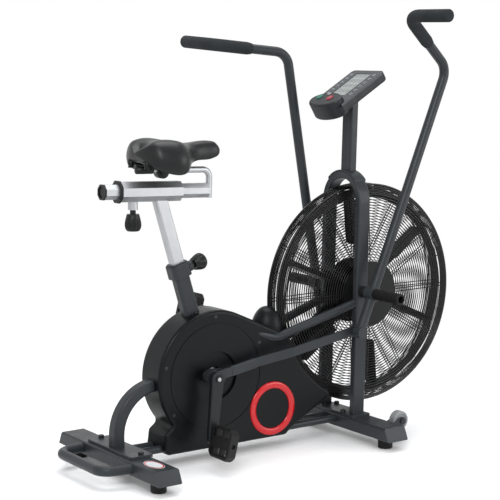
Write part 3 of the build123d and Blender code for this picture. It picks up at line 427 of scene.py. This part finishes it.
def saddle_point(along, around):
    """Point of the cover. around runs from -1 at the right hem, over the top, to 1 at the left hem."""
    rear = math.sqrt(max(0.0, 1 - (1 - min(1.0, along / 0.13)) ** 2))
    tip = math.sqrt(max(0.0, 1 - max(0.0, (along - 0.91) / 0.09) ** 2))
    width = max(0.0006, through(WIDTHS, along) * rear * tip)
    crown, hem = through(CROWNS, along), through(HEMS, along)
    middle = mix(crown, hem, 0.55)
    close = min(rear, tip) ** 0.8
    crown, hem = mix(middle, crown, close), mix(middle, hem, close)
    side = 1 if around >= 0 else -1
    across = abs(around)
    roll = across * FULL_TURN
    y = side * width * sin(roll) ** (0.80 if roll < pi / 2 else 0.62)
    z = crown - (crown - hem) * (1 - cos(roll)) / (1 - cos(FULL_TURN))
    lobes = 1 - smooth_step(0.30, 0.62, along)
    z += 0.0065 * lobes * close * math.exp(-((across - 0.36) / 0.17) ** 2)
    z -= (0.0085 * lobes + 0.0018) * close * math.exp(-(across / 0.13) ** 2)
    x = saddle_low.x + 0.003 + (saddle_length - 0.004) * along
    x += 0.017 * math.exp(-(across / 0.24) ** 2) * (1 - smooth_step(0.0, 0.20, along))
    return Vector((x, y, z))


rows, columns = 72, 60
shares = (0.10, 0.24, 0.40, 0.60, 0.76, 0.90)
points, faces = [], []
places = [(1 - cos(pi * row / rows)) / 2 for row in range(rows + 1)]
for along in places:
    for column in range(columns + 1):
        points.append(saddle_point(along, -1 + 2 * column / columns))
wide = columns + 1
for row in range(rows):
    for column in range(columns):
        first = row * wide + column
        faces.append((first, first + 1, first + wide + 1, first + wide))
# The underside: the hem turned in and up to the pan.
under_base = len(points)
for along in places:
    left, right = saddle_point(along, 1), saddle_point(along, -1)
    rise = max(0.003, PAN_HEIGHT - left.z)
    rise *= smooth_step(0.0, 0.10, along) * (1 - smooth_step(0.90, 1.0, along))
    for share in shares:
        here = right.lerp(left, share)
        here.z += rise * min(1.0, min(share, 1 - share) / 0.24)
        points.append(here)
count = len(shares)
for row in range(rows):
    ring_a = [row * wide] + [under_base + row * count + k for k in range(count)] + [row * wide + columns]
    ring_b = [(row + 1) * wide] + [under_base + (row + 1) * count + k for k in range(count)]
    ring_b.append((row + 1) * wide + columns)
    for k in range(count + 1):
        faces.append((ring_a[k], ring_b[k], ring_b[k + 1], ring_a[k + 1]))
cover = mesh_piece("saddle_cover", points, faces, "saddle_vinyl", "saddle_slider")
cover.modifiers.new("smooth", "SUBSURF").levels = 1
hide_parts("saddle")

# Steel rails and rubber bumpers under the saddle
BUMPER = ((0.0, 0.006), (0.001, 0.009), (0.006, 0.007), (0.011, 0.0095), (0.022, 0.008))
under = []
for side in (-1, 1):
    rail_line = [Vector((-0.452, side * 0.040, 0.856)), Vector((-0.440, side * 0.034, 0.846)),
                 Vector((-0.412, side * 0.028, 0.838)), Vector((-0.350, side * 0.028, 0.838)),
                 Vector((-0.318, side * 0.020, 0.846)), Vector((-0.296, side * 0.010, 0.853))]
    under.append(tube_mesh(rail_line, 0.0036, sides=10))
    for x in (-0.447, -0.424):
        under.append(lathe_mesh(Vector((x, side * 0.042, 0.834)), Vector((0, 0, 1)), BUMPER, 20))
mesh_piece("saddle_undercarriage", *merge(under), "black_plastic", "saddle_slider")

# Seat clamp: a barrel on the rail, an ear and nut each side, and a cradle for the saddle rails
clamp_low, clamp_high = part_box("saddle_clamp")
clamp_x = (clamp_low.x + clamp_high.x) / 2
sideways = Vector((0, 1, 0))
BARREL = ((0.0, 0.0130), (0.0015, 0.0172), (0.0295, 0.0172), (0.0310, 0.0130))
EAR = ((0.0, 0.0120), (0.0008, 0.0140), (0.0055, 0.0140), (0.0065, 0.0120))
NUT = ((0.0, 0.0076), (0.0024, 0.0072))
ear_z = 0.8265
parts = [lathe_mesh(Vector((clamp_x, -0.0155, 0.8215)), sideways, BARREL, 32)]
for side in (-1, 1):
    out = sideways * side
    parts.append(lathe_mesh(Vector((clamp_x, side * 0.0160, ear_z)), out, EAR, 32))
    parts.append(lathe_mesh(Vector((clamp_x, side * 0.0225, ear_z)), out, NUT, 6))
    for lean in (-1, 1):
        spot = Vector((clamp_x + lean * 0.019, side * 0.0185, 0.8385))
        parts.append(box_mesh(spot, (0.016, 0.012, 0.014), Matrix.Rotation(radians(lean * 12), 3, "Y")))
    parts.append(box_mesh(Vector((clamp_x, side * 0.0185, 0.8355)), (0.030, 0.010, 0.010)))
clamp = soften(mesh_piece("saddle_clamp_fittings", *merge(parts), "black_plastic", "saddle_slider"), 0.0012)
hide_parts("saddle_clamp")

# Black boot over the rear end of the steel rail
slide_turn = Matrix.Rotation(radians(2), 3, "Y")
boot_start = Vector((-0.417, 0, 0.771)) + slide_turn @ Vector((-0.0422, 0, 0.0575))
BOOT = ((0.0, 0.0070), (0.0014, 0.0104), (0.0510, 0.0104), (0.0525, 0.0096))
boot = lathe_mesh(boot_start, slide_turn @ Vector((1, 0, 0)), BOOT, 32)
mesh_piece("rail_boot", *boot, "black_plastic", "saddle_slider")


# ------------------------------------------------------------------- grips

def rounded_line(start, corner, end, radius, steps=14):
    """Straight, arc, straight: a bent bar's centre line."""
    into, out = (corner - start).normalized(), (end - corner).normalized()
    angle = into.angle(out)
    cut = radius * math.tan(angle / 2)
    first, last = corner - into * cut, corner + out * cut
    centre = corner + (out - into).normalized() * (radius / cos(angle / 2))
    line = [start.lerp(first, k / 6) for k in range(6)]
    for k in range(steps + 1):
        chord = first.lerp(last, k / steps)
        line.append(centre + (chord - centre).normalized() * radius)
    line += [last.lerp(end, k / 8) for k in range(1, 9)]
    return line


PIVOT = Vector((0.2628, 0.0, 0.443))
BEND = Vector((0.2765, -0.134, 0.6534))
CORNER = Vector((0.0843, -0.178, 0.8047))
TIP = Vector((0.101, -0.333, 0.8034))
GRIP_RADIUS = 0.0185
centre_line = rounded_line(CORNER + (BEND - CORNER).normalized() * 0.132, CORNER, TIP, 0.048)
centre_line.append(TIP + (TIP - CORNER).normalized() * 0.0048)
for side, body, node in ((1, "right_handle", "right_grip"), (-1, "left_handle", "left_grip")):
    turn = Matrix.Rotation(radians(-32.4), 3, "Y") if side < 0 else Matrix.Identity(3)
    line = [PIVOT + turn @ Vector((p.x, side * p.y, p.z)) for p in centre_line]
    tube_points, tube_faces = tube_mesh(line, GRIP_RADIUS, sides=32)
    total = len(line)
    for index, here in enumerate(line):
        slim = 0.86 if index in (0, total - 1) else 1.0
        for k in range(32):
            spot = tube_points[index * 32 + k]
            tube_points[index * 32 + k] = here + (spot - here) * slim
    grip = mesh_piece(f"{node}_foam", tube_points, tube_faces, "grip_foam", body)
    soften(grip, 0.0016, 3)
    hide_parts(node)


# ------------------------------------------------------------ small fittings

jack = centre_of("accent_ring")
ring_inner, ring_outer = 0.0582, 0.0788
ring_points, ring_faces = [], []
profile = [(ring_outer, 0.0)]
for index in range(9):
    turn = pi * index / 8
    profile.append(((ring_inner + ring_outer) / 2 + (ring_outer - ring_inner) / 2 * cos(turn) * 0.96,
                    0.0022 + 0.0042 * sin(turn) ** 0.7))
profile.append((ring_inner, 0.0))
segments = 128
face_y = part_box("accent_ring")[1].y
for index in range(segments):
    turn = 2 * pi * index / segments
    for radius, lift in profile:
        ring_points.append(Vector((jack.x + radius * cos(turn), face_y - lift, jack.z + radius * sin(turn))))
around = len(profile)
for index in range(segments):
    low, high = index * around, (index + 1) % segments * around
    for k in range(around):
        step = (k + 1) % around
        ring_faces.append((low + k, low + step, high + step, high + k))
red_ring = mesh_piece("accent_ring_gloss", ring_points, ring_faces, "accent_red", "frame")
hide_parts("accent_ring")

PIN_CAP = ((0.0, 0.0060), (0.0008, 0.0060), (0.0020, 0.0052), (0.0028, 0.0030), (0.0030, 0.0004))
PIN_COLLAR = ((0.0, 0.0150), (0.0006, 0.0156), (0.0090, 0.0156), (0.0096, 0.0150))
CRANK_THROW = 0.034
CRANK_PIN_DEG = 170.5
crank_centre = centre_of("crank_axle")


def round_crank(radius, deg, y):
    """A point on a circle about the crank axis."""
    turn = radians(deg)
    return Vector((crank_centre.x + radius * cos(turn), y, crank_centre.z + radius * sin(turn)))


for side in (-1, 1):
    pin = round_crank(CRANK_THROW, CRANK_PIN_DEG + (180 if side > 0 else 0), side * 0.1178)
    cap = lathe_mesh(pin, Vector((0, side, 0)), PIN_CAP, 28)
    collar_at = Vector((pin.x, side * 0.0690, pin.z))
    collar = lathe_mesh(collar_at, Vector((0, side, 0)), PIN_COLLAR, 40)
    label = "right" if side < 0 else "left"
    mesh_piece(f"{label}_pin_fittings", *merge([cap, collar]), "steel", "crank")

# Cover screws near the rim of the casing
SCREW = ((0.0, 0.0052), (0.0006, 0.0052), (0.0010, 0.0046), (0.0010, 0.0026), (0.0006, 0.0022))
parts = []
for side in (-1, 1):
    for deg in (28, 90, 166, 214):
        spot = round_crank(0.1685, deg, side * 0.0496)
        parts.append(lathe_mesh(spot, Vector((0, side, 0)), SCREW, 20))
mesh_piece("casing_screws", *merge(parts), "dark_bolt", "frame", slot="casing_plastic")

# Plastic sleeves on the rear part of the link rods
SLEEVE = (0.084, 0.0108, 0.0288)
for label, side, deg, lean in (("right", -1, CRANK_PIN_DEG, 9.69), ("left", 1, CRANK_PIN_DEG + 180, 10.13)):
    turn = Matrix.Rotation(radians(-lean), 3, "Y")
    spot = round_crank(CRANK_THROW, deg, side * 0.085) + turn @ Vector((0.104, 0, 0))
    sleeve = mesh_piece(f"{label}_rod_sleeve", *box_mesh(spot, SLEEVE, turn), "frame_paint", f"{label}_link",
                        smooth=False)
    soften(sleeve, 0.003, 3)


# ----------------------------------------------------------- printed details

def plate_mesh(centre, half_x, half_y, thick, hole=0.0, count=64):
    """A flat oval plate, or an oval ring when it has a hole."""
    rings = ((1.0, 0.0), (1.0, thick), (hole, thick), (hole, 0.0)) if hole else ((1.0, 0.0), (1.0, thick))
    points, faces = [], []
    for index in range(count):
        turn = 2 * pi * index / count
        for share, lift in rings:
            points.append(centre + Vector((half_x * share * cos(turn), half_y * share * sin(turn), lift)))
    wide = len(rings)
    for index in range(count):
        low, high = index * wide, (index + 1) % count * wide
        for k in range(wide if hole else 1):
            step = (k + 1) % wide
            faces.append((low + k, high + k, high + step, low + step))
    if not hole:
        faces.append(tuple(range(1, count * wide, wide)))
    return points, faces


# A blank oval label on the rear bar
label_at = Vector((-0.523, -0.190, 0.0681))
mesh_piece("bar_label", *plate_mesh(label_at, 0.0215, 0.041, 0.0003), icon_white, "frame", slot="frame_paint",
           smooth=False)
border_at = label_at + Vector((0, 0, 0.0002))
border = plate_mesh(border_at, 0.0205, 0.039, 0.0003, hole=0.86)
mesh_piece("bar_label_border", *border, "accent_red", "frame", smooth=False)


console_turn = Matrix.Rotation(radians(-30.9), 3, "Y")
console_origin = Vector((0.1865, 0, 0.993))


def on_console(x, y, z):
    return console_origin + console_turn @ Vector((x, y, z))


# Each mark is one long bar over a short and a shorter one: (forward shift, distance from the middle, size)
MARK = ((0.0, 0.0485, (0.0080, 0.0022, 0.0004)), (0.002, 0.0555, (0.0038, 0.0045, 0.0004)),
        (-0.004, 0.0555, (0.0020, 0.0045, 0.0004)))
marks = []
for side in (-1, 1):
    for index in range(6):
        x = 0.062 + index * 0.0205
        for dx, y, size in MARK:
            marks.append(box_mesh(on_console(x + dx, side * y, 0.0001), size, console_turn))
mesh_piece("console_marks", *merge(marks), mark_grey, "frame", slot="console_panel", smooth=False)

# Two printed bars on each coloured button, riding with it
BUTTON_TOP = 0.01725
for button, slot, x, y in (("start_button", "button_green", 0.017, 0.034),
                           ("stop_button", "button_red", 0.013, -0.018)):
    bars = [box_mesh(on_console(x, y, BUTTON_TOP), (0.0016, 0.007, 0.0003), console_turn)]
    bars.append(box_mesh(on_console(x + 0.004, y, BUTTON_TOP), (0.0016, 0.0042, 0.0003), console_turn))
    mesh_piece(f"{button}_mark", *merge(bars), mark_grey, button, slot=slot, smooth=False)

digits = []
for row in range(4):
    for column in range(4):
        x, y = 0.071 + row * 0.027, -0.021 + column * 0.014
        for dx in (0.0, 0.0085, 0.017):
            digits.append(box_mesh(on_console(x + dx, y, -0.0011), (0.0012, 0.0070, 0.0003), console_turn))
        for edge in (-0.0036, 0.0036):
            spot = on_console(x + 0.0085, y + edge, -0.0011)
            digits.append(box_mesh(spot, (0.0165, 0.0011, 0.0003), console_turn))
mesh_piece("lcd_segments", *merge(digits), digit_dark, "frame", slot="lcd", smooth=False)


# ------------------------------------------------------- floor, light, camera

floor = bpy.data.objects.new("floor", bpy.data.meshes.new("floor"))
floor.data.from_pydata([(-30, -30, 0), (30, -30, 0), (30, 30, 0), (-30, 30, 0)], [], [(0, 1, 2, 3)])
bpy.context.scene.collection.objects.link(floor)


def paper():
    """Pale paper that fades to plain white away from the bike."""
    made = Nodes("floor_paper")
    made.link(made.ramp(made.noise(40.0, 3.0), (0.93, 0.93, 0.935), (0.96, 0.96, 0.965)),
              made.shader.inputs["Base Color"])
    made.shader.inputs["Roughness"].default_value = 0.8
    made.shader.inputs["Specular IOR Level"].default_value = 0.1
    length = made.tree.nodes.new("ShaderNodeVectorMath")
    length.operation = "LENGTH"
    made.link(made.coords, length.inputs[0])
    fade = made.tree.nodes.new("ShaderNodeMapRange")
    fade.interpolation_type = "SMOOTHSTEP"
    fade.inputs["From Min"].default_value = 0.5
    fade.inputs["From Max"].default_value = 1.7
    made.link(length.outputs["Value"], fade.inputs["Value"])
    glow = made.tree.nodes.new("ShaderNodeEmission")
    glow.inputs["Color"].default_value = (1, 1, 1, 1)
    glow.inputs["Strength"].default_value = 1.0
    blend = made.tree.nodes.new("ShaderNodeMixShader")
    made.link(fade.outputs["Result"], blend.inputs["Fac"])
    made.link(made.shader.outputs["BSDF"], blend.inputs[1])
    made.link(glow.outputs["Emission"], blend.inputs[2])
    made.link(blend.outputs["Shader"], made.tree.nodes["Material Output"].inputs["Surface"])
    return made.material


floor.data.materials.append(paper())

# White all round the horizon, dimmer overhead.
world = bpy.data.worlds.new("studio")
world.use_nodes = True
sky = world.node_tree
direction = sky.nodes.new("ShaderNodeTexCoord").outputs["Generated"]
parts_of = sky.nodes.new("ShaderNodeSeparateXYZ")
sky.links.new(direction, parts_of.inputs["Vector"])
height_ramp = sky.nodes.new("ShaderNodeValToRGB")
height_ramp.color_ramp.elements[0].position = 0.45
height_ramp.color_ramp.elements[0].color = (1, 1, 1, 1)
height_ramp.color_ramp.elements[1].position = 0.75
height_ramp.color_ramp.elements[1].color = (0.50, 0.515, 0.53, 1)
sky.links.new(parts_of.outputs["Z"], height_ramp.inputs["Fac"])
sky.links.new(height_ramp.outputs["Color"], sky.nodes["Background"].inputs["Color"])
sky.nodes["Background"].inputs["Strength"].default_value = 1.0
bpy.context.scene.world = world
bpy.context.scene.view_settings.view_transform = "Standard"


def area_light(name, place, target, size, power):
    data = bpy.data.lights.new(name, "AREA")
    data.shape = "SQUARE"
    data.size = size
    data.energy = power
    light = bpy.data.objects.new(name, data)
    light.location = place
    light.rotation_mode = "QUATERNION"
    light.rotation_quaternion = (Vector(target) - Vector(place)).to_track_quat("-Z", "Y")
    bpy.context.scene.collection.objects.link(light)


middle = (0.0, 0.0, 0.6)
area_light("key", (-3.0, -3.2, 3.6), middle, 2.2, 120.0)
area_light("fill", (2.8, -3.4, 1.6), middle, 2.5, 60.0)
area_light("top", (0.2, 0.4, 4.0), middle, 3.0, 110.0)

CAMERA_PLACE = Vector((-2.5176, -3.4794, 1.1585))
CAMERA_AZIMUTH = -35.0
CAMERA_ELEVATION = 7.7
camera_data = bpy.data.cameras.new("camera")
camera_data.lens = 107.9
camera_data.sensor_width = 36.0
camera = bpy.data.objects.new("camera", camera_data)
back = Vector((sin(radians(CAMERA_AZIMUTH)) * cos(radians(CAMERA_ELEVATION)),
               -cos(radians(CAMERA_AZIMUTH)) * cos(radians(CAMERA_ELEVATION)),
               sin(radians(CAMERA_ELEVATION))))
camera.location = CAMERA_PLACE
camera.rotation_mode = "QUATERNION"
camera.rotation_quaternion = (-back).to_track_quat("-Z", "Y")
bpy.context.scene.collection.objects.link(camera)
bpy.context.scene.camera = camera
